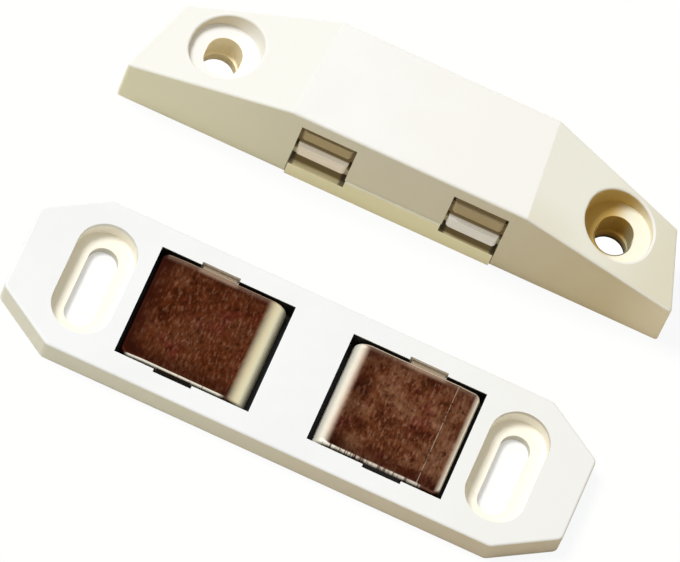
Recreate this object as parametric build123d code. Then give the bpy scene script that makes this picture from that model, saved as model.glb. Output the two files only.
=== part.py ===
from build123d import *
from math import radians, tan
import os

# Magnetic catch in two halves, laid side by side as they come out of the packet.
# The magnet housing stands behind, its windows towards -Y, and the counterplate lies in front of it.
# Millimetres, +Z up, both halves on z = 0, the origin under the middle of the whole set.

# Layout of the set
housing_gap = 14.95
housing_offset = 1.5

# Magnet housing, outer form
housing_length = 69.0
housing_depth = 14.0
housing_height = 12.7
end_height = 7.05
ridge_half_front = 14.8
ridge_half_back = 13.7
end_depth = 10.2
end_taper = 3.3
housing_edge_radius = 0.4

# Magnet housing, walls and hollows
housing_wall = 1.3
chamber_wall = 1.4
recess_depth = 3.6

# Magnet housing, screw holes
screw_from_end = 9.7
screw_from_front = 6.2
screw_hole_width = 4.3
screw_hole_length = 5.2
counterbore_width = 8.4
counterbore_length = 8.9
counterbore_floor = 7.1
counterbore_rim_radius = 0.3
boss_wall = 1.2

# Magnet packs
pack_spacing = 19.2
pole_thickness = 1.8
magnet_thickness = 1.8
pole_width = 7.5
pack_back_gap = 0.8
tongue_width = 6.25
tongue_stand_out = 0.3
tongue_corner_radius = 0.5
pole_corner_radius = 0.6
pack_seat_gap = 0.3
pack_head_room = 0.9
pack_side_gap = 0.35
pack_shoulder_gap = 0.4
magnet_set_back = 0.5
left_pack_set_in = 0.5
window_side_gap = 0.35

# Base cover
cover_overlap = 1.4
cover_gap = 0.1
cover_wall = 1.3
cover_skin = 1.4
cover_lip_stand_out = 0.3
sill_drop = 1.1
rest_height = 0.4
rest_side_gap = 0.3
rest_front = 2.6

# Counterplate
plate_length = 70.0
plate_width = 20.8
plate_thickness = 3.2
clip_length = 7.2
clip_width = 4.75
plate_corner_radius = 1.0
plate_edge_radius = 0.3
pocket_spacing = 24.1
pocket_length = 16.8
pocket_width = 15.1
pocket_floor = 0.7
slot_from_end = 9.05
slot_width = 3.6
slot_length = 11.0
slot_side_ledge = 1.85
slot_end_ledge = 2.0
slot_ledge_height = 1.0
rib_width = 2.0
rib_edge_radius = 0.5

# Keepers
keeper_thickness = 1.2
keeper_proud = 0.1
keeper_inner_gap = 0.6
keeper_outer_gap = 0.4
keeper_side_gap = 0.35
keeper_edge_radius = 0.45
bend_radius = 2.0
crease_from_edge = 2.9
crease_angle = 5.0
keeper_corner_radius = 0.9
pivot_from_outer_wall = 7.35
lug_length = 4.2
lug_reach = 0.55
lug_drop = 0.5
lug_side_gap = 0.28
lug_end_gap = 0.2
lug_seat_gap = 0.15

LOW = (Align.CENTER, Align.CENTER, Align.MIN)


def block(x_low, x_high, y_low, y_high, z_low, z_high):
    size = (x_high - x_low, y_high - y_low, z_high - z_low)
    middle = Pos((x_low + x_high) / 2, (y_low + y_high) / 2, z_low)
    return middle * Box(*size, align=LOW)


def cross_slot(x, y, z_low, width, length):
    plan = SlotOverall(length, width, rotation=90)
    return Pos(x, y, z_low) * extrude(plan, amount=housing_height)


# Positions in the set that follow from the sizes above
back_to_front = plate_width + housing_gap + housing_depth
plate_x = (plate_length / 2 - housing_offset - housing_length / 2) / 2
plate_y = (plate_width - back_to_front) / 2
plate_place = Pos(plate_x, plate_y, 0)
housing_place = Pos(plate_x + housing_offset, plate_y + plate_width / 2 + housing_gap, 0)

pack_height = 2 * pole_thickness + magnet_thickness
pack_bottom = recess_depth + rest_height + pack_seat_gap
chamber_top = pack_bottom + pack_height + pack_head_room
chamber_width = pole_width + 2 * pack_side_gap
chamber_back = housing_depth - housing_wall
window_width = tongue_width + 2 * window_side_gap
pole_front = housing_wall + pack_shoulder_gap
pole_length = chamber_back - pack_back_gap - pole_front
screw_x = housing_length / 2 - screw_from_end
window_reach = pack_spacing / 2 + window_width / 2


# Magnet housing: a bar with a flat middle and two falling ends, narrower at the back,
# moulded as a shell that is open underneath
def housing_plan(inset):
    half = housing_length / 2
    corners = [
        (-half, 0),
        (half, 0),
        (half - end_taper, end_depth),
        (ridge_half_back, housing_depth),
        (-ridge_half_back, housing_depth),
        (end_taper - half, end_depth),
    ]
    plan = make_face(Polyline(*corners, close=True))
    if inset > 0:
        plan = offset(plan, amount=-inset, kind=Kind.INTERSECTION)
    return plan


def slope_plane(side, skin):
    start = Vector(side * ridge_half_front, 0, housing_height)
    along = Vector(side * (ridge_half_back - ridge_half_front), housing_depth, 0)
    fall = Vector(side * (housing_length / 2 - ridge_half_front), 0, end_height - housing_height)
    normal = (fall.cross(along) * side).normalized()
    return Plane(origin=start - normal * skin, x_dir=along, z_dir=normal)


def housing_form(inset, skin):
    form = extrude(housing_plan(inset), amount=housing_height - skin)
    for side in (-1, 1):
        form = split(form, bisect_by=slope_plane(side, skin), keep=Keep.BOTTOM)
    return form


outer = housing_form(0, 0)
outer = fillet([edge for edge in outer.edges() if edge.center().Z > 0], housing_edge_radius)
for side in (-1, 1):
    outer -= cross_slot(side * screw_x, screw_from_front, counterbore_floor, counterbore_width, counterbore_length)
rims = [edge for face in outer.faces() for wire in face.inner_wires() for edge in wire.edges()]
outer = fillet(rims, counterbore_rim_radius)

core_start = pack_spacing / 2 + chamber_width / 2 + chamber_wall
core_form = housing_form(housing_wall, housing_wall)
core_reach = housing_length / 2
recess = extrude(housing_plan(housing_wall), amount=recess_depth)
housing = outer - recess
centre_core_half = pack_spacing / 2 - chamber_width / 2 - chamber_wall
housing -= core_form & block(-centre_core_half, centre_core_half, 0, housing_depth, 0, housing_height)

for side in (-1, 1):
    reach = sorted((side * core_start, side * core_reach))
    core = core_form & block(reach[0], reach[1], 0, housing_depth, 0, housing_height)
    boss_size = (counterbore_width + 2 * boss_wall, counterbore_length + 2 * boss_wall)
    boss = cross_slot(side * screw_x, screw_from_front, 0, *boss_size)
    housing -= core - (boss - recess)
    housing -= cross_slot(side * screw_x, screw_from_front, 0, screw_hole_width, screw_hole_length)
    pack_x = side * pack_spacing / 2
    chamber = block(pack_x - chamber_width / 2, pack_x + chamber_width / 2, housing_wall, chamber_back, 0, chamber_top)
    window = block(pack_x - window_width / 2, pack_x + window_width / 2, -housing_wall, chamber_back, 0, chamber_top)
    housing -= chamber
    housing -= window

housing -= block(-window_reach, window_reach, -housing_wall, housing_depth / 2, 0, recess_depth)

# Base cover: a tray let into the underside below the two chambers, with a raised rest for each magnet pack.
# Its front lip closes the windows from below and shows between them as a strip that stands a little out
cover_half = core_start + cover_overlap
cover_plan = housing_plan(housing_wall + cover_gap)
cover_span = block(-cover_half, cover_half, 0, housing_depth, 0, recess_depth)
base_cover = extrude(cover_plan, amount=recess_depth) & cover_span
tray_span = block(cover_wall - cover_half, cover_half - cover_wall, 0, housing_depth, 0, recess_depth - cover_skin)
tray = extrude(housing_plan(housing_wall + cover_gap + cover_wall), amount=recess_depth - cover_skin) & tray_span
tray -= block(-cover_wall / 2, cover_wall / 2, 0, housing_depth, 0, recess_depth)
lip_half = window_reach - cover_gap
lip_back = housing_wall + cover_gap
base_cover += block(-lip_half, lip_half, -cover_lip_stand_out, lip_back + cover_wall, 0, recess_depth)
base_cover -= tray
for side in (-1, 1):
    reach = sorted((side * lip_half, side * (lip_half - window_width)))
    base_cover -= block(*reach, -housing_wall, lip_back, recess_depth - sill_drop, 2 * recess_depth)
    rest_x = side * pack_spacing / 2
    rest_half = chamber_width / 2 - rest_side_gap
    rest_top = recess_depth + rest_height
    base_cover += block(rest_x - rest_half, rest_x + rest_half, rest_front, chamber_back - rest_side_gap, recess_depth, rest_top)

# Magnet packs: a magnet block between two steel poles whose tongues stand out of the window
pole_plan = make_face(
    Polyline(
        (-tongue_width / 2, -tongue_stand_out),
        (tongue_width / 2, -tongue_stand_out),
        (tongue_width / 2, pole_front),
        (pole_width / 2, pole_front),
        (pole_width / 2, pole_front + pole_length),
        (-pole_width / 2, pole_front + pole_length),
        (-pole_width / 2, pole_front),
        (-tongue_width / 2, pole_front),
        close=True,
    )
)
tongue_corners = [corner for corner in pole_plan.vertices() if corner.Y < 0]
pole_plan = fillet(tongue_corners, tongue_corner_radius)
back_corners = [corner for corner in pole_plan.vertices() if corner.Y > pole_front + pole_length / 2]
pole_plan = fillet(back_corners, pole_corner_radius)
pole = extrude(pole_plan, amount=pole_thickness)
magnet = block(
    -pole_width / 2,
    pole_width / 2,
    pole_front + magnet_set_back,
    pole_front + pole_length - magnet_set_back,
    0,
    magnet_thickness,
)

# Counterplate: a thin bar with clipped corners, two keeper pockets that each hold a rib for the keeper to rock on,
# and two cross slots, each at the bottom of a wider recess
half_length = plate_length / 2
half_width = plate_width / 2
plate_plan = make_face(
    Polyline(
        (clip_length - half_length, -half_width),
        (half_length - clip_length, -half_width),
        (half_length, clip_width - half_width),
        (half_length, half_width - clip_width),
        (half_length - clip_length, half_width),
        (clip_length - half_length, half_width),
        (-half_length, half_width - clip_width),
        (-half_length, clip_width - half_width),
        close=True,
    )
)
plate_plan = fillet(plate_plan.vertices(), plate_corner_radius)
counterplate = extrude(plate_plan, amount=plate_thickness)
top_edges = counterplate.faces().sort_by(Axis.Z)[-1].edges()
counterplate = fillet(top_edges, plate_edge_radius)

keeper_top = plate_thickness + keeper_proud
keeper_width = pocket_width - 2 * keeper_side_gap
pivot_z = keeper_top - keeper_thickness / 2
pivot_x = pocket_spacing / 2 + pocket_length / 2 - pivot_from_outer_wall
notch_length = lug_length + 2 * lug_side_gap
notch_half_width = keeper_width / 2 + lug_reach + lug_end_gap
notch_floor = keeper_top - keeper_thickness - lug_seat_gap

for side in (-1, 1):
    pocket_x = side * pocket_spacing / 2
    counterplate -= block(
        pocket_x - pocket_length / 2,
        pocket_x + pocket_length / 2,
        -pocket_width / 2,
        pocket_width / 2,
        pocket_floor,
        2 * plate_thickness,
    )
    counterplate -= block(
        side * pivot_x - notch_length / 2,
        side * pivot_x + notch_length / 2,
        -notch_half_width,
        notch_half_width,
        notch_floor,
        2 * plate_thickness,
    )
    slot_x = side * (half_length - slot_from_end)
    recess_size = (slot_width + 2 * slot_side_ledge, slot_length + 2 * slot_end_ledge)
    counterplate -= cross_slot(slot_x, 0, 0, slot_width, slot_length)
    counterplate -= cross_slot(slot_x, 0, slot_ledge_height, *recess_size)
    rib = Pos(side * pivot_x, 0, 0) * Box(rib_width, pocket_width, notch_floor, align=LOW)
    rib = fillet(rib.faces().sort_by(Axis.Z)[-1].edges().filter_by(Axis.Y), rib_edge_radius)
    counterplate += rib

# Keepers: stamped steel, the inner edge rolled down, the outer edge set down a little at a crease,
# two lugs at the middle of the long sides that keep them in place on their ribs
flat_end = pocket_spacing / 2 - pocket_length / 2 + keeper_inner_gap + bend_radius
outer_end = pocket_spacing / 2 + pocket_length / 2 - keeper_outer_gap
crease_x = outer_end - crease_from_edge
set_down = crease_from_edge * tan(radians(crease_angle))
keeper_under = keeper_top - keeper_thickness
inner_bend_radius = bend_radius - keeper_thickness
keeper_profile = make_face(
    [
        Line((outer_end, keeper_top - set_down), (crease_x, keeper_top)),
        Line((crease_x, keeper_top), (flat_end, keeper_top)),
        CenterArc((flat_end, keeper_top - bend_radius), bend_radius, 90, 90),
        Line((flat_end - bend_radius, keeper_top - bend_radius), (flat_end - inner_bend_radius, keeper_top - bend_radius)),
        CenterArc((flat_end, keeper_top - bend_radius), inner_bend_radius, 90, 90),
        Line((flat_end, keeper_under), (crease_x, keeper_under)),
        Line((crease_x, keeper_under), (outer_end, keeper_under - set_down)),
        Line((outer_end, keeper_under - set_down), (outer_end, keeper_top - set_down)),
    ]
)
keeper = extrude(Plane.XZ * keeper_profile, amount=keeper_width / 2, both=True)
outer_corners = [edge for edge in keeper.edges().filter_by(Axis.Z) if edge.center().X > crease_x]
keeper = fillet(outer_corners, keeper_corner_radius)
half_keeper = keeper_width / 2
rim = [edge for edge in keeper.edges() if edge.center().Z > keeper_under + keeper_thickness / 3]
rim = [edge for edge in rim if abs(edge.center().Y) > keeper_side_gap or edge.center().X > outer_end - keeper_thickness / 3]
rim = [edge for edge in rim if edge.geom_type != GeomType.LINE or abs((edge @ 1 - edge @ 0).Z) < keeper_thickness / 2]
keeper = fillet(rim, keeper_edge_radius)
lug_profile = make_face(
    Polyline(
        (0, keeper_under),
        (0, keeper_top - lug_drop / 3),
        (half_keeper - keeper_edge_radius, keeper_top - lug_drop / 3),
        (half_keeper + lug_reach, keeper_top - lug_drop),
        (half_keeper + lug_reach, keeper_under),
        close=True,
    )
)
lug = Pos(pivot_x, 0, 0) * extrude(Plane.YZ * lug_profile, amount=lug_length / 2, both=True)
keeper += lug
keeper += mirror(lug, about=Plane.XZ)

nodes = {
    "housing": housing_place * housing,
    "base_cover": housing_place * base_cover,
    "counterplate": plate_place * counterplate,
    "keeper_right": plate_place * keeper,
    "keeper_left": plate_place * mirror(keeper, about=Plane.YZ),
}
for name, side, set_in in (("left", -1, left_pack_set_in), ("right", 1, 0)):
    pack_place = housing_place * Pos(side * pack_spacing / 2, set_in, pack_bottom)
    nodes["pole_lower_" + name] = pack_place * pole
    nodes["magnet_" + name] = pack_place * Pos(0, 0, pole_thickness) * magnet
    nodes["pole_upper_" + name] = pack_place * Pos(0, 0, pole_thickness + magnet_thickness) * pole

os.makedirs("parts", exist_ok=True)
for name, shape in nodes.items():
    export_step(shape, "parts/" + name + ".step")
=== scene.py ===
from math import cos, radians, sin

import bpy
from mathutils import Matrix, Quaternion, Vector


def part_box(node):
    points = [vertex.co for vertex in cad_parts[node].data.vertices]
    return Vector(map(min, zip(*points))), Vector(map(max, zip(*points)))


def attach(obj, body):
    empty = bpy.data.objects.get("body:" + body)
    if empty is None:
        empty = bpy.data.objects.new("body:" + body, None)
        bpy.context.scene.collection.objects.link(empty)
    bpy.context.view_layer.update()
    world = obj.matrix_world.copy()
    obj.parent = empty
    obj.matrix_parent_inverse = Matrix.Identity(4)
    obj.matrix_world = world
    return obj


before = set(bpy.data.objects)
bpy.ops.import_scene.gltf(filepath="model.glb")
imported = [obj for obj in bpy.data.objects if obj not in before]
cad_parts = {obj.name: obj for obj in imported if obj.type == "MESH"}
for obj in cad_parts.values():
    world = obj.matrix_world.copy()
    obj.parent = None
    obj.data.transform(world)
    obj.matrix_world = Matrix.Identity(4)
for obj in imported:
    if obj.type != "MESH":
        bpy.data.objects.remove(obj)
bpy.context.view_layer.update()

# Metres throughout; sizes written in millimetres are multiplied by MM
MM = 0.001

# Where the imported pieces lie, taken from the frame itself
plate_low, plate_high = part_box("counterplate")
plate_middle = (plate_low + plate_high) / 2
housing_low, housing_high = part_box("housing")
housing_middle = (housing_low + housing_high) / 2
pole_low, pole_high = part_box("pole_upper_right")
lower_low, lower_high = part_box("pole_lower_right")
pack_reach = (pole_low.x + pole_high.x) / 2 - housing_middle.x
keeper_low, keeper_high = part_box("keeper_right")

# Housing: reaches from its middle, depths from its front
SCREW_FROM_FRONT = 6.2 * MM
SCREW_REACH = 24.8 * MM
SINK_RADIUS = 4.2 * MM
SINK_STRAIGHT = 0.25 * MM
BORE_RADIUS = 2.15 * MM
BORE_STRAIGHT = 0.45 * MM
HOUSING_TOP = 12.7 * MM
RIDGE_REACH = 14.5 * MM
END_FALL = 5.65 / 19.7
CHAMBER_TOP = 10.6 * MM
CHAMBER_DEPTH_MIDDLE = 7.2 * MM
CHAMBER_HALF_WIDTH = 4.2 * MM
CHAMBER_HALF_DEPTH = 5.55 * MM

# Feet of the screw bosses
BOSS_UNDER = 3.6 * MM
FOOT_LOW = 2.6 * MM
FOOT_LAP = 0.3 * MM
FOOT_CLEAR = 0.01 * MM
FOOT_SPREAD = 1.45
FOOT_SHADE = 0.9 * MM

# Cover: the sills in the windows and the lip between them
SILL_HALF = 3.4 * MM
SILL_CORNER = 2.9 * MM
SILL_BELOW = 3.3 * MM
LEFT_SILL_SHADE = 0.25 * MM
RIGHT_SILL_SHADE = -0.20 * MM
LIP_DEPTH = 0.125 * MM
COVER_HIDDEN = 1.7 * MM

# Poles: how far in they stay bright before the painted shade, and how much further in the left pack stands
POLE_BRIGHT = 0.62 * MM
LEFT_SET_IN = 0.5 * MM

# Counterplate: reaches from its middle
SLOT_REACH = 25.95 * MM
SLOT_HALF_WIDTH = 4.4 * MM
SLOT_HALF_LENGTH = 7.9 * MM
SLOT_DEPTH = 0.55 * MM
SLOT_LEDGE = 0.90 * MM
POCKET_HALF_LENGTH = 8.7 * MM
NOTCH_REACH = 8.05 * MM
POCKET_MID_HEIGHT = 1.7 * MM
POCKET_HALF_HEIGHT = 1.4 * MM
POCKET_HALF_WIDTH = 7.6 * MM
PIVOT_REACH = 13.1 * MM
NOTCH_HALF_LENGTH = 2.38 * MM

# Keepers: reaches from the plate's middle; where there are two values, for the left and the right keeper
ROLL_END = (6.03 * MM, 5.27 * MM)
ROLL_FADE = (0.80 * MM, 0.42 * MM)
ROLL_FLANK = 5.2 * MM
SHINE_END = (19.1 * MM, 17.6 * MM)
LEFT_SHINE_START = 7.2 * MM
RIGHT_SHINE_FULL = 7.5 * MM
OUTER_REACH = 19.4 * MM
RIM_REACH = 6.55 * MM
LUG_START = 7.225 * MM
LUG_HALF = 2.4 * MM
FLANK_TOP = 1.9 * MM
LEFT_FLANK_DROP = 0.45 * MM
CREASE_REACH = 17.15 * MM
CREASE_HALF = 0.05 * MM

# Table paper: what is seen of it in the slots, in the screw holes and under the cover
PAPER_SLOT_HALF_WIDTH = 2.3 * MM
PAPER_SLOT_HALF_LENGTH = 6.5 * MM
PAPER_BORE_HALF = 2.95 * MM
PAPER_BORE_FROM = 2.95 * MM
PAPER_BORE_TO = 10.45 * MM
PAPER_COVER_TO = 8.95 * MM
PAPER_COVER_REACH = 20.5 * MM
TABLE_DROP = 0.05 * MM
TABLE_SIZE = 4

# Camera: far off with a long lens, sixty degrees above the table, rolled so that the catch lies askew
VIEW_HEIGHT = radians(60)
VIEW_ROLL = radians(24.5)
VIEW_TARGET = Vector((-0.81, 0.50, 0)) * MM
VIEW_DISTANCE = 1.306
LENS = 600
SENSOR = 36
CLIP_START = 0.01
CLIP_END = 20

# Light
ROOM_COLOUR = (1.0, 0.95, 0.83, 1)
ROOM_STRENGTH = 0.42
LAMP_COLOUR = (0.96, 0.98, 1.0)
LAMP_ENERGY = 2.35
LAMP_ANGLE = radians(20)
LAMP_FROM = Vector((-0.54, 0.10, 1.0))

# Colours, as linear values
WHITE = (0.92, 0.915, 0.905, 1)
WHITE_DEEP = (0.90, 0.89, 0.87, 1)
TOP_RIGHT_TINT = (0.88, 0.87, 0.835, 1)
WALL_SHADE_LEFT = (0.90, 0.90, 0.78, 1)
WALL_SHADE_MIDDLE = (0.78, 0.75, 0.66, 1)
WALL_SHADE_RIGHT = (0.70, 0.61, 0.44, 1)
WALL_SHADE_END = (0.85, 0.78, 0.64, 1)
SLOPE_SHADE_LEFT = (0.842, 0.835, 0.796, 1)
SLOPE_SHADE_RIGHT = (0.88, 0.87, 0.78, 1)
SLOPE_SHADE_END = (0.77, 0.73, 0.58, 1)
AMBER_SHADE = (0.62, 0.42, 0.11, 1)
AMBER_SHADE_DEEP = (0.60, 0.38, 0.09, 1)
AMBER_PALE = (0.93, 0.87, 0.68, 1)
CREAM = (0.92, 0.90, 0.76, 1)
TAN_PALE = (0.97, 0.95, 0.89, 1)
TAN_SHADED = (0.72, 0.63, 0.46, 1)
BORE_PALE = (0.98, 0.88, 0.65, 1)
BORE_SHADE_OLIVE = (0.46, 0.42, 0.25, 1)
PAINTED_SHADE_DARK = (0.05, 0.04, 0.03, 1)
SHADE_AND_SPECK_BROWN = (0.30, 0.23, 0.12, 1)
CHAMBER_PAINTED_GLOW = (0.055, 0.042, 0.022, 1)
NO_GLOW = (0, 0, 0, 1)
COVER_IVORY = (0.95, 0.92, 0.70, 1)
LIP_HIGHLIGHT = (0.97, 0.96, 0.82, 1)
SILL_SHADE_KHAKI = (0.80, 0.72, 0.46, 1)
SILL_SHADE_BROWN = (0.34, 0.26, 0.14, 1)
PLATE_WHITE = (0.885, 0.90, 0.92, 1)
PLATE_WHITE_DEEP = (0.865, 0.875, 0.89, 1)
PLATE_GREY = (0.835, 0.83, 0.80, 1)
PLATE_WALL_SHADE_LEFT = (0.80, 0.82, 0.80, 1)
PLATE_WALL_SHADE_RIGHT = (0.66, 0.60, 0.52, 1)
LEDGE_LIGHT_CREAM = (0.97, 0.93, 0.82, 1)
SLOT_SHADE = (0.62, 0.60, 0.51, 1)
POCKET_SHADE_BLACK = (0.006, 0.005, 0.004, 1)
NOTCH_PALE = (0.86, 0.81, 0.71, 1)
STEEL_SHEEN_BROWN = (0.087, 0.023, 0.007, 1)
STEEL_TAWNY = (0.143, 0.060, 0.029, 1)
STEEL_WINE = (0.095, 0.014, 0.010, 1)
STEEL_DARK_MOTTLE_AND_SHADE = (0.018, 0.003, 0.001, 1)
STEEL_BLOOD = (0.056, 0.009, 0.0, 1)
STEEL_FLECK = (0.29, 0.16, 0.10, 1)
STEEL_HIGHLIGHT_CREAM = (0.93, 0.84, 0.66, 1)
STEEL_HIGHLIGHT_WHITE = (1.0, 0.95, 0.81, 1)
STEEL_REFLECTION_STRAW = (0.85, 0.76, 0.50, 1)
STEEL_REFLECTION_PALE_STRAW = (0.98, 0.94, 0.70, 1)
RIM_LIGHT_TAN = (0.36, 0.24, 0.17, 1)
RIM_LIGHT_PALE = (0.74, 0.62, 0.48, 1)
LUG_REFLECTION_BEIGE = (0.50, 0.41, 0.31, 1)
POLE_SHADE_TAN = (0.42, 0.33, 0.19, 1)
POLE_REFLECTION_PINK = (0.97, 0.90, 0.86, 1)
POLE_REFLECTION_BLUE = (0.92, 0.93, 1.0, 1)
POLE_PAINTED_GLOW = (0.24, 0.225, 0.18, 1)
FERRITE_BLACK = (0.012, 0.011, 0.010, 1)
PAPER = (0.80, 0.73, 0.54, 1)
PAPER_WHITE = (0.95, 0.95, 0.94, 1)
PAPER_GLOW = (0.97, 0.985, 1.0, 1)

# Painted shade on the housing's walls, yellower and darker from left to right: each fade's start and end,
# in millimetres from the middle, and the colour it leads to
WALL_SHADE_FADES = ((-30, 2, WALL_SHADE_MIDDLE), (0, 32, WALL_SHADE_RIGHT), (26, 34, WALL_SHADE_END))


class Signal:
    """One output socket; signs between signals and numbers become Math nodes."""

    def __init__(self, finish, socket):
        self.finish = finish
        self.socket = socket

    def out(self, name):
        return Signal(self.finish, self.socket.node.outputs[name])

    def math(self, operation, *values):
        return self.finish.node("ShaderNodeMath", {"operation": operation}, values)

    def __add__(self, other):
        return self.math("ADD", self, other)

    def __sub__(self, other):
        return self.math("SUBTRACT", self, other)

    def __rsub__(self, other):
        return self.math("SUBTRACT", other, self)

    def __mul__(self, other):
        return self.math("MULTIPLY", self, other)

    def __truediv__(self, other):
        return self.math("DIVIDE", self, other)

    def __abs__(self):
        return self.math("ABSOLUTE", self)

    __radd__ = __add__
    __rmul__ = __mul__

    def rise(self, start, end, centre=0.0):
        """0 at start and 1 at end, both measured from the centre, smooth between; start may be the larger."""
        flip = end < start
        low, high = sorted((start, end))
        value = self - centre if isinstance(centre, Signal) or centre else self
        settings = {"interpolation_type": "SMOOTHSTEP"}
        limits = {"Value": value, "From Min": low, "From Max": high}
        step = self.finish.node("ShaderNodeMapRange", settings, limits)
        return 1 - step if flip else step

    def past(self, edge, soft, centre=0.0):
        """0 before the edge and 1 past it, with a fade of the given width at the edge."""
        return self.rise(edge - soft / 2, edge + soft / 2, centre)

    def short_of(self, edge, soft, centre=0.0):
        """1 before the edge and 0 past it, with the same fade."""
        return self.rise(edge + soft / 2, edge - soft / 2, centre)


class Finish:
    """A procedural surface: one shader, and the nodes that feed it."""

    def __init__(self, name, **fixed):
        self.material = bpy.data.materials.new(name)
        self.material.use_nodes = True
        self.tree = self.material.node_tree
        self.shader = self.tree.nodes["Principled BSDF"]
        for socket, value in fixed.items():
            self.shader.inputs[socket.replace("_", " ")].default_value = value
        self.place = self.node("ShaderNodeTexCoord", output="Object")
        self.normal = self.place.out("Normal")

    def node(self, kind, settings=None, inputs=(), output=0):
        made = self.tree.nodes.new(kind)
        for name, value in (settings or {}).items():
            setattr(made, name, value)
        pairs = inputs.items() if isinstance(inputs, dict) else enumerate(inputs)
        for key, value in pairs:
            self.feed(made.inputs[key], value)
        return Signal(self, made.outputs[output])

    def feed(self, socket, value):
        if isinstance(value, Signal):
            self.tree.links.new(value.socket, socket)
        else:
            socket.default_value = value

    def set(self, **links):
        for name, value in links.items():
            self.feed(self.shader.inputs[name.replace("_", " ")], value)

    def axis(self, name, source=None):
        return self.node("ShaderNodeSeparateXYZ", None, (source or self.place,), output=name)

    def mix(self, factor, low, high):
        settings = {"data_type": "RGBA", "clamp_factor": True}
        return self.node("ShaderNodeMix", settings, {0: factor, 6: low, 7: high}, output=2)

    def noise(self, scale, detail=2.0, roughness=0.5, stretch=None):
        where = self.place
        if stretch:
            where = self.node("ShaderNodeMapping", None, {"Vector": where, "Scale": stretch})
        inputs = {"Vector": where, "Scale": scale, "Detail": detail, "Roughness": roughness}
        return self.node("ShaderNodeTexNoise", None, inputs)

    def bump(self, height, distance, strength=1.0):
        inputs = {"Height": height, "Distance": distance, "Strength": strength}
        return self.node("ShaderNodeBump", None, inputs)

    def slab(self, name, centre, half, soft):
        """1 within half of the centre along one axis, 0 beyond it."""
        return abs(self.axis(name) - centre).short_of(half, soft)

    def distance(self, x, y):
        """How far off an axis, or off a straight stretch where y has that stretch taken away."""
        beyond = self.node("ShaderNodeMath", {"operation": "MAXIMUM"}, (y, 0.0))
        return self.node("ShaderNodeMath", {"operation": "SQRT"}, (x * x + beyond * beyond,))

    def block(self, centre, half, soft):
        """1 inside a box given by its centre and its half sizes."""
        return (
            self.slab("X", centre[0], half[0], soft)
            * self.slab("Y", centre[1], half[1], soft)
            * self.slab("Z", centre[2], half[2], soft)
        )


def moulded_plastic(name, colour, deep_colour, **fixed):
    """Matt white moulding: a faint cloudiness in the colour and a very fine grain."""
    finish = Finish(name, Specular_IOR_Level=0.3, **fixed)
    cloud = finish.noise(scale=140, detail=3)
    grain = finish.noise(scale=2600, detail=2)
    finish.colour = finish.mix(cloud.rise(0.35, 0.7), colour, deep_colour)
    finish.set(Roughness=0.46 + cloud * 0.12, Normal=finish.bump(grain, 0.00002, 0.5))
    return finish


def housing_outside(finish, across, along):
    """Painted shade: walls yellower and darker than the top, more so towards the right, and faintly creamy
    slopes, darker at the right end.
    """
    facing_up = finish.axis("Z", finish.normal)
    facing_out = finish.axis("X", finish.normal)
    wall = WALL_SHADE_LEFT
    for start, end, next_colour in WALL_SHADE_FADES:
        wall = finish.mix(across.rise(start * MM, end * MM), wall, next_colour)
    # The top turns yellower towards the right
    top = finish.mix(across.rise(-13 * MM, 14 * MM), finish.colour, TOP_RIGHT_TINT)
    # Painted shade: the walls take a darker, yellower colour than the top by the way they face
    colour = finish.mix(facing_up.rise(0.8, 0.3), top, wall)
    # Painted shade on the slopes by the way they face, darker at the right end and towards the front
    slope_front = along.rise(-1 * MM, -6 * MM) * across.rise(24 * MM, 18 * MM)
    slope_end = slope_front * 0.5 + across.rise(20 * MM, 33 * MM)
    slope = finish.mix(slope_end, SLOPE_SHADE_RIGHT, SLOPE_SHADE_END)
    sloping = facing_up.rise(0.8, 0.94)
    colour = finish.mix(facing_out.rise(-0.15, -0.27) * sloping, colour, SLOPE_SHADE_LEFT)
    return finish.mix(facing_out.rise(0.15, 0.27) * sloping, colour, slope)


def screw_hole_colour(finish, colour, across, along):
    """Painted shade in the screw holes: amber walls and a cream floor in the right one, amber towards its
    left, both paler in the left one.
    """
    right = across.past(0, 2 * MM)
    height = finish.axis("Z")
    floor = finish.axis("Z", finish.normal).rise(0.5, 0.8)
    off_axis = abs(across) - SCREW_REACH
    sink = finish.distance(off_axis, abs(along) - SINK_STRAIGHT)
    bore = finish.distance(off_axis, abs(along) - BORE_STRAIGHT)
    ceiling = HOUSING_TOP - (abs(across) - RIDGE_REACH) * END_FALL
    inside = sink.short_of(SINK_RADIUS + 0.05 * MM, 0.14 * MM) * (ceiling - height).rise(0.05 * MM, 0.6 * MM)

    # Painted shade: amber and tan walls, and amber on the left of the right hole's floor
    amber = finish.mix(off_axis.rise(0, 3.2 * MM), AMBER_SHADE, AMBER_PALE)
    tan = finish.mix(off_axis.rise(-3 * MM, 2 * MM), TAN_PALE, TAN_SHADED)
    wall = finish.mix(right, tan, amber)
    right_floor = finish.mix(off_axis.rise(-1.6 * MM, 1.2 * MM), AMBER_SHADE, CREAM)
    floor_colour = finish.mix(right, finish.colour, right_floor)
    colour = finish.mix(inside, colour, finish.mix(floor, wall, floor_colour))

    # Painted shade: a dark line at the near edge of the right bore, and the bore itself dark at its foot
    edge = bore.short_of(BORE_RADIUS + 0.13 * MM, 0.06 * MM) * along.rise(0.6 * MM, -0.4 * MM)
    colour = finish.mix(edge * right * floor, colour, PAINTED_SHADE_DARK)
    down_bore = bore.short_of(BORE_RADIUS + 0.04 * MM, 0.04 * MM)
    bore_amber = finish.mix(off_axis.rise(0.4 * MM, 2 * MM), AMBER_SHADE_DEEP, BORE_SHADE_OLIVE)
    bore_colour = finish.mix(height.rise(FOOT_LOW + FOOT_SHADE, FOOT_LOW), bore_amber, PAINTED_SHADE_DARK)
    return finish.mix(down_bore, colour, finish.mix(right, BORE_PALE, bore_colour))


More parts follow.
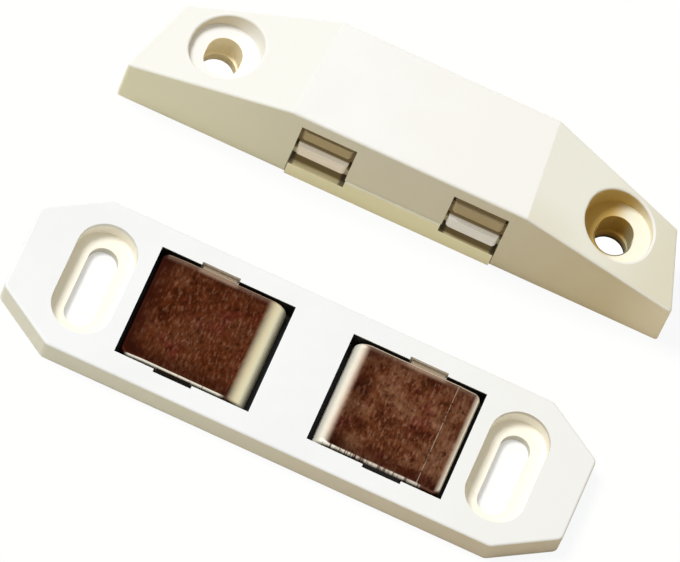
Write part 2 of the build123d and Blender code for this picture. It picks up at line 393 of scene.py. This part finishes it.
def housing_finish():
    """White moulding, with painted shade: yellower on its walls, amber down the screw holes, dark brown in
    the chambers with a faint painted glow.
    """
    finish = moulded_plastic("housing_plastic_white", WHITE, WHITE_DEEP, Emission_Strength=1)
    across = finish.axis("X") - housing_middle.x
    along = finish.axis("Y") - (housing_low.y + SCREW_FROM_FRONT)
    colour = housing_outside(finish, across, along)
    colour = screw_hole_colour(finish, colour, across, along)

    # Chambers behind the windows: painted brown shade, with a faint painted glow in them
    half = (CHAMBER_HALF_WIDTH, CHAMBER_HALF_DEPTH, CHAMBER_TOP / 2 + 0.1 * MM)
    dark = 0.0
    for side in (-1, 1):
        centre = (housing_middle.x + side * pack_reach, housing_low.y + CHAMBER_DEPTH_MIDDLE, CHAMBER_TOP / 2)
        dark = finish.block(centre, half, 0.2 * MM) + dark
    colour = finish.mix(dark, colour, SHADE_AND_SPECK_BROWN)
    finish.set(Base_Color=colour, Emission_Color=finish.mix(dark, NO_GLOW, CHAMBER_PAINTED_GLOW))
    return finish


def plate_finish():
    """White moulding, greyer towards the right, its walls painted darker as shade, its slots painted cream as
    light, and its keeper pockets painted black as shade.
    """
    finish = moulded_plastic("plate_plastic_white", PLATE_WHITE, PLATE_WHITE_DEEP)
    across = finish.axis("X") - plate_middle.x
    off_middle = abs(across)
    height = finish.axis("Z")
    facing_up = finish.axis("Z", finish.normal)
    colour = finish.mix(across.rise(4 * MM, 34 * MM) * 0.7, finish.colour, PLATE_GREY)
    # Painted shade: the walls take a darker colour than the top by the way they face, darker towards the
    # right
    wall_colour = finish.mix(across.rise(-34 * MM, 34 * MM), PLATE_WALL_SHADE_LEFT, PLATE_WALL_SHADE_RIGHT)
    colour = finish.mix(facing_up.rise(0.7, 0.2), colour, wall_colour)

    # Slots: the ledge and its walls painted cream as light, and the narrow slot below it painted as shade
    in_slot = height.short_of(plate_high.z - SLOT_DEPTH, 0.3 * MM)
    in_slot = in_slot * abs(off_middle - SLOT_REACH).short_of(SLOT_HALF_WIDTH, 0.2 * MM)
    in_slot = in_slot * finish.slab("Y", plate_middle.y, SLOT_HALF_LENGTH, 0.2 * MM)
    through = height.short_of(SLOT_LEDGE, 0.1 * MM) * facing_up.rise(0.5, 0.2)
    colour = finish.mix(in_slot, colour, LEDGE_LIGHT_CREAM)
    colour = finish.mix(in_slot * through, colour, SLOT_SHADE)

    # Pockets painted black as shade, and the paler notches in their far walls
    reach = (keeper_low.x + keeper_high.x) / 2 - plate_middle.x
    half = (POCKET_HALF_LENGTH, NOTCH_REACH, POCKET_HALF_HEIGHT)
    inside = 0.0
    for side in (-1, 1):
        centre = (plate_middle.x + side * reach, plate_middle.y, POCKET_MID_HEIGHT)
        inside = finish.block(centre, half, 0.15 * MM) + inside
    beyond = (finish.axis("Y") - plate_middle.y).past(POCKET_HALF_WIDTH, 0.1 * MM)
    notch = beyond * abs(off_middle - PIVOT_REACH).short_of(NOTCH_HALF_LENGTH, 0.1 * MM)
    finish.set(Base_Color=finish.mix(inside, colour, finish.mix(notch, POCKET_SHADE_BLACK, NOTCH_PALE)))
    return finish


def cover_finish():
    """Ivory moulding, with a painted highlight along the top of its lip, painted brown shade on the sills in
    the windows, and painted shade where it lies further in.
    """
    finish = moulded_plastic("cover_plastic_ivory", COVER_IVORY, COVER_IVORY)
    across = finish.axis("X") - housing_middle.x
    behind_front = finish.axis("Y") - housing_low.y
    side = across.past(0, 2 * MM)
    facing_up = finish.axis("Z", finish.normal).rise(0.5, 0.9)
    # Painted highlight along the top of the lip
    line = facing_up * behind_front.short_of(LIP_DEPTH, 0.15 * MM)
    line = line * finish.slab("X", housing_middle.x, pack_reach - SILL_HALF, 0.1 * MM)
    # Painted shade on the sills: khaki turning brown further in, and dark at their corners
    sill = facing_up * finish.axis("Z").short_of(SILL_BELOW, 0.2 * MM)
    shade_start = LEFT_SILL_SHADE + side * (RIGHT_SILL_SHADE - LEFT_SILL_SHADE)
    shaded = (behind_front - shade_start).rise(0, 0.3 * MM)
    corner = abs(abs(across) - pack_reach).past(SILL_CORNER, 0.4 * MM)
    sill_colour = finish.mix(shaded, SILL_SHADE_KHAKI, SILL_SHADE_BROWN)
    sill_colour = finish.mix(corner * 0.8, sill_colour, PAINTED_SHADE_DARK)
    colour = finish.mix(line, finish.colour, LIP_HIGHLIGHT)
    colour = finish.mix(sill, colour, sill_colour)
    # Painted shade on the cover where it lies further in, inside the housing
    hidden = behind_front.past(COVER_HIDDEN, 1 * MM)
    finish.set(Base_Color=finish.mix(hidden, colour, SHADE_AND_SPECK_BROWN))
    return finish


class KeeperPlace:
    """Where a point lies on the keepers, with side 0 on the left one and 1 on the right one, and the two
    noises that several parts of the finish use."""

    def __init__(self, finish):
        across = finish.axis("X") - plate_middle.x
        self.off_middle = abs(across)
        self.along = finish.axis("Y") - plate_middle.y
        self.height = finish.axis("Z")
        self.side = across.past(0, 2 * MM)
        self.left = 1 - self.side
        self.near = self.along.short_of(-RIM_REACH, 0.7 * MM)
        self.far = self.along.past(RIM_REACH, 0.7 * MM)
        self.outer = self.off_middle.past(OUTER_REACH, 0.4 * MM)
        self.grain = finish.noise(scale=1300, detail=3, roughness=0.7)
        self.streak = finish.noise(scale=3000, detail=2, roughness=0.6, stretch=(1, 0.36, 1))

    def each(self, left, right):
        """A value that isn't the same on the left and the right keeper."""
        return right + self.left * (left - right)


def keeper_painted_sheen(finish, place):
    """Painted red-brown sheen of the flat: cloudy patches, fine grain and flecks, and painted shade darker
    towards the edges.
    """
    off_middle, along, side, left = place.off_middle, place.along, place.side, place.left
    grain, streak = place.grain, place.streak
    patches = finish.noise(scale=250, detail=4, roughness=0.65)
    wine = finish.noise(scale=310, detail=3, roughness=0.6)
    flat = finish.mix(patches.rise(0.40, 0.64), STEEL_SHEEN_BROWN, STEEL_TAWNY)
    flat = finish.mix(left * 0.68, flat, STEEL_BLOOD)
    flat = finish.mix(wine.rise(0.52, 0.70) * 0.6, flat, STEEL_WINE)
    flat = finish.mix(patches.rise(0.50, 0.30) * place.each(0.95, 0.75), flat, STEEL_DARK_MOTTLE_AND_SHADE)
    flat = finish.mix(grain.rise(0.50, 0.30) * 0.7, flat, STEEL_DARK_MOTTLE_AND_SHADE)
    flat = finish.mix(streak.rise(0.48, 0.30) * 0.55, flat, STEEL_DARK_MOTTLE_AND_SHADE)
    flat = finish.mix(streak.rise(0.50, 0.74) * place.each(0.26, 0.34), flat, STEEL_FLECK)
    # Painted shade: darker towards the edges
    border = abs(along).rise(4.6 * MM, 6.8 * MM) * 0.4 + along.rise(-4.0 * MM, -6.4 * MM) * 0.2
    border = border + off_middle.rise(16.5 * MM, 19.4 * MM) * left * 0.7
    border = border + off_middle.rise(9 * MM, 6.5 * MM) * side * 0.4
    flat = finish.mix(border, flat, STEEL_DARK_MOTTLE_AND_SHADE)

    # A painted highlight along a fine crease near the right keeper's outer edge, and painted tan light where
    # the flat meets its edges
    crease = finish.slab("X", plate_middle.x + CREASE_REACH, CREASE_HALF, 0.05 * MM)
    flat = finish.mix(crease * grain.rise(0.30, 0.55) * 0.20, flat, STEEL_HIGHLIGHT_CREAM)
    flat = finish.mix(off_middle.rise(6.3 * MM, 5.2 * MM) * side * 0.5, flat, RIM_LIGHT_PALE)
    flat = finish.mix(off_middle.rise(19.2 * MM, 19.85 * MM) * side * 0.7, flat, RIM_LIGHT_PALE)
    at_lug = abs(off_middle - PIVOT_REACH).short_of(LUG_HALF, 0.8 * MM)
    return finish.mix(along.rise(6.2 * MM, 7 * MM) * (0.3 + at_lug * 0.6), flat, RIM_LIGHT_TAN)


def keeper_rim_highlight(finish, place):
    """Painted highlights on the rim: cream, tan along the far edge; the near edge glints, in short dashes on
    the right keeper.
    """
    off_middle, side = place.off_middle, place.side
    dashes = finish.noise(scale=4200, detail=2, stretch=(1, 0.05, 0.05))
    shine = off_middle.short_of(0, 0.6 * MM, centre=place.each(*SHINE_END))
    shine = shine * dashes.past(0, 0.28, centre=place.each(0.30, 0.47))
    shine = shine * (side + place.left * off_middle.past(LEFT_SHINE_START, 0.8 * MM))
    shine = shine * (1 - side * off_middle.past(RIGHT_SHINE_FULL, 3 * MM) * 0.3)
    colour = finish.mix(place.near, STEEL_HIGHLIGHT_CREAM, finish.mix(shine, STEEL_SHEEN_BROWN, STEEL_HIGHLIGHT_WHITE))
    return finish.mix(place.far, colour, finish.mix(side, RIM_LIGHT_TAN, RIM_LIGHT_PALE))


def keeper_finish():
    """Stamped steel with painted reflections: a dark red-brown sheen on the flat, bright metal on the roll
    and the rounded edges.
    """
    finish = Finish("keeper_steel_painted_sheen")
    place = KeeperPlace(finish)
    off_middle, along = place.off_middle, place.along
    left_near = place.near * place.left
    colour = keeper_painted_sheen(finish, place)

    # The rounded rim, with painted highlights; the left keeper's outer rim is painted dark as shade
    off_roll = off_middle.past(6.4 * MM, 0.4 * MM) + abs(along).past(RIM_REACH, 0.3 * MM)
    facing_up = finish.axis("Z", finish.normal)
    rim = facing_up.short_of(0, 0.12, centre=0.92 - left_near * 0.09) * off_roll.rise(0, 1)
    rim = rim * (1 - place.outer * place.left)
    colour = finish.mix(rim, colour, keeper_rim_highlight(finish, place))
    colour = finish.mix(place.outer * place.left * 0.8, colour, STEEL_DARK_MOTTLE_AND_SHADE)

    # Painted reflections on the roll along the inner edge, straw on the left and white on the right
    roll = ((off_middle - place.each(*ROLL_END)) / place.each(*ROLL_FADE)).rise(1, -1)
    straw = finish.mix(off_middle.short_of(ROLL_FLANK, 0.6 * MM), STEEL_REFLECTION_STRAW, STEEL_REFLECTION_PALE_STRAW)
    colour = finish.mix(roll, colour, finish.mix(place.side, straw, STEEL_HIGHLIGHT_WHITE))

    # The lugs, the near one painted black as shade and the far one painted beige as reflection, and the
    # flanks that go down into the pocket, painted dark as shade
    lug_colour = finish.mix(along.past(0, 2 * MM), POCKET_SHADE_BLACK, LUG_REFLECTION_BEIGE)
    colour = finish.mix(abs(along).past(LUG_START, 0.15 * MM), colour, lug_colour)
    low = place.height.short_of(0, 0.6 * MM, centre=FLANK_TOP - left_near * LEFT_FLANK_DROP)
    colour = finish.mix(low * off_middle.past(ROLL_FLANK + 0.05 * MM, 0.7 * MM), colour, STEEL_DARK_MOTTLE_AND_SHADE)

    bright = finish.node("ShaderNodeMath", {"operation": "MAXIMUM"}, (roll, rim))
    finish.set(
        Base_Color=colour,
        Metallic=0.98 - bright * 0.68,
        Roughness=0.34 + place.streak * 0.18,
        Normal=finish.bump(place.streak, 0.00001, 0.4),
    )
    return finish


def pole_finish():
    """Plated steel strip: tan above, painted as shade, and below it a painted reflection, pinkish on the left
    pack and bluish on the right.
    """
    finish = Finish("pole_steel_plated", Metallic=0.1, Emission_Strength=1)
    brushed = finish.noise(scale=1500, detail=3, stretch=(0.15, 1, 1))
    side = (finish.axis("X") - housing_middle.x).past(0, 2 * MM)
    upper = finish.axis("Z").rise(lower_high.z, pole_low.z)
    depth = finish.axis("Y") - lower_low.y - (1 - side) * LEFT_SET_IN
    inner = depth.past(POLE_BRIGHT, 0.24 * MM)
    tread = finish.axis("Z", finish.normal).rise(0.5, 0.9) * (1 - upper) * (1 - inner)
    colour = finish.mix(upper, finish.mix(side, POLE_REFLECTION_PINK, POLE_REFLECTION_BLUE), POLE_SHADE_TAN)
    # Painted shade further in, and brown brushed streaks
    colour = finish.mix(inner, colour, SHADE_AND_SPECK_BROWN)
    colour = finish.mix(brushed.rise(0.5, 0.9) * 0.2, colour, SHADE_AND_SPECK_BROWN)
    # A painted glow on the lower pole's top face, and a fainter one further in
    glow = finish.mix(tread, finish.mix(inner, NO_GLOW, CHAMBER_PAINTED_GLOW), POLE_PAINTED_GLOW)
    finish.set(Base_Color=colour, Roughness=0.36 + brushed * 0.2, Emission_Color=glow)
    return finish


def ferrite_finish():
    """Sintered magnet: matt black with a brown speck."""
    finish = Finish("magnet_ferrite_black", Roughness=0.7)
    speck = finish.noise(scale=1800, detail=4)
    finish.set(Base_Color=finish.mix(speck * 0.3, FERRITE_BLACK, SHADE_AND_SPECK_BROWN))
    return finish


finishes = {
    "housing_plastic": housing_finish(),
    "cover_plastic": cover_finish(),
    "plate_plastic": plate_finish(),
    "keeper_steel": keeper_finish(),
    "pole_steel": pole_finish(),
    "ferrite": ferrite_finish(),
}
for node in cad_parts.values():
    made_of = node.material_slots[0].material.name
    node.material_slots[0].material = finishes[made_of].material


def screw_foot(name, side):
    """Foot of a screw boss: an oblong sleeve that carries the screw hole a little further down."""
    centre = Vector((housing_middle.x + side * SCREW_REACH, housing_low.y + SCREW_FROM_FRONT, FOOT_LOW))
    bpy.ops.object.select_all(action="DESELECT")
    bpy.ops.mesh.primitive_circle_add(vertices=64, radius=BORE_RADIUS + FOOT_CLEAR, location=centre)
    foot = bpy.context.object
    foot.name = name
    bpy.ops.object.transform_apply(location=True, rotation=True, scale=True)
    for end in (-1, 1):
        for corner in foot.data.vertices:
            corner.select = (corner.co.y - centre.y) * end > 0.01 * MM
        bpy.ops.object.mode_set(mode="EDIT")
        bpy.ops.mesh.select_mode(type="VERT")
        bpy.ops.transform.translate(value=(0, end * BORE_STRAIGHT, 0))
        bpy.ops.mesh.select_all(action="DESELECT")
        bpy.ops.object.mode_set(mode="OBJECT")
    bpy.ops.object.mode_set(mode="EDIT")
    bpy.ops.mesh.select_all(action="SELECT")
    bpy.ops.mesh.extrude_region_move(TRANSFORM_OT_translate={"value": (0, 0, 0)})
    bpy.ops.transform.resize(value=(FOOT_SPREAD, FOOT_SPREAD, 1), center_override=centre)
    bpy.ops.mesh.select_all(action="SELECT")
    foot_height = BOSS_UNDER + FOOT_LAP - FOOT_LOW
    bpy.ops.mesh.extrude_region_move(TRANSFORM_OT_translate={"value": (0, 0, foot_height)})
    bpy.ops.mesh.select_all(action="SELECT")
    bpy.ops.mesh.normals_make_consistent(inside=False)
    bpy.ops.object.mode_set(mode="OBJECT")
    bpy.ops.object.shade_smooth_by_angle(angle=radians(30))
    foot.data.materials.append(finishes["housing_plastic"].material)
    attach(foot, "halves")


screw_foot("screw_foot_left", -1)
screw_foot("screw_foot_right", 1)


def paper_finish():
    """White table paper: it shows white to the lens and keeps the shadow, most clearly in the slots.
    From below it is clear, so that the underside can be looked at."""
    finish = Finish("table_paper", Roughness=0.9)
    off_plate = abs(finish.axis("X") - plate_middle.x)
    in_slots = abs(off_plate - SLOT_REACH).short_of(PAPER_SLOT_HALF_WIDTH, 0.2 * MM)
    in_slots = in_slots * finish.slab("Y", plate_middle.y, PAPER_SLOT_HALF_LENGTH, 0.2 * MM)
    off_housing = abs(finish.axis("X") - housing_middle.x)
    behind_front = finish.axis("Y") - housing_low.y
    under_cover = behind_front.rise(0, 0.05 * MM) * behind_front.short_of(PAPER_COVER_TO, 0.1 * MM)
    under_cover = under_cover * off_housing.short_of(PAPER_COVER_REACH, 0.2 * MM)
    in_bores = behind_front.past(PAPER_BORE_FROM, 0.1 * MM) * behind_front.short_of(PAPER_BORE_TO, 0.1 * MM)
    in_bores = in_bores * abs(off_housing - SCREW_REACH).short_of(PAPER_BORE_HALF, 0.1 * MM)

    # Share of the glow: most on the open table; all of it in the screw holes, painted light there; little
    # under the cover, painted shade there; less in the slots, so that their shadow shows
    share = 0.86 + in_bores * 0.14 - in_slots * 0.56 - under_cover * 0.80
    finish.set(Base_Color=finish.mix(in_slots, PAPER, PAPER_WHITE))

    body = Signal(finish, finish.shader.outputs[0])
    ray = finish.node("ShaderNodeLightPath", output="Is Camera Ray")
    glow = finish.node("ShaderNodeEmission", None, {"Color": PAPER_GLOW, "Strength": 1.06})
    clear = finish.node("ShaderNodeBsdfTransparent")
    from_below = finish.node("ShaderNodeNewGeometry", output="Backfacing")
    seen = finish.node("ShaderNodeMixShader", None, {0: ray * share, 1: body, 2: glow})
    seen = finish.node("ShaderNodeMixShader", None, {0: from_below, 1: seen, 2: clear})
    output = finish.tree.nodes["Material Output"]
    finish.feed(output.inputs["Surface"], seen)
    return finish


bpy.ops.object.select_all(action="DESELECT")
bpy.ops.mesh.primitive_plane_add(size=TABLE_SIZE, location=(0, 0, -TABLE_DROP))
table = bpy.context.object
table.name = "table_top"
table.data.materials.append(paper_finish().material)


def pale_room():
    """Cream light all round, and plain white for the lens and for anything glossy or clear."""
    world = bpy.data.worlds.new("pale_room")
    world.use_nodes = True
    nodes, links = world.node_tree.nodes, world.node_tree.links
    room = nodes["Background"]
    room.inputs["Color"].default_value = ROOM_COLOUR
    room.inputs["Strength"].default_value = ROOM_STRENGTH
    white = nodes.new("ShaderNodeBackground")
    white.inputs["Color"].default_value = (1, 1, 1, 1)
    path = nodes.new("ShaderNodeLightPath")
    looks = path.outputs["Is Camera Ray"]
    for kind in ("Is Glossy Ray", "Is Transmission Ray"):
        either = nodes.new("ShaderNodeMath")
        either.operation = "MAXIMUM"
        links.new(looks, either.inputs[0])
        links.new(path.outputs[kind], either.inputs[1])
        looks = either.outputs[0]
    blend = nodes.new("ShaderNodeMixShader")
    for socket, source in enumerate((looks, room.outputs[0], white.outputs[0])):
        links.new(source, blend.inputs[socket])
    links.new(blend.outputs[0], nodes["World Output"].inputs["Surface"])
    return world


# Light: the room, and one lamp above, to the left
bpy.context.scene.world = pale_room()
bpy.ops.object.light_add(type="SUN")
key = bpy.context.object
key.name = "key_lamp"
key.data.energy = LAMP_ENERGY
key.data.angle = LAMP_ANGLE
key.data.color = LAMP_COLOUR
key.rotation_mode = "QUATERNION"
key.rotation_quaternion = LAMP_FROM.to_track_quat("Z", "Y")

# Camera
bpy.ops.object.camera_add()
camera = bpy.context.object
camera.name = "photo_camera"
camera.data.lens = LENS
camera.data.sensor_width = SENSOR
camera.data.clip_start = CLIP_START
camera.data.clip_end = CLIP_END
outward = Vector((0, -cos(VIEW_HEIGHT), sin(VIEW_HEIGHT)))
camera.location = VIEW_TARGET + outward * VIEW_DISTANCE
camera.rotation_mode = "QUATERNION"
level = outward.to_track_quat("Z", "Y")
camera.rotation_quaternion = level @ Quaternion((0, 0, 1), VIEW_ROLL)
bpy.context.scene.camera = camera

bpy.context.scene.view_settings.view_transform = "Standard"
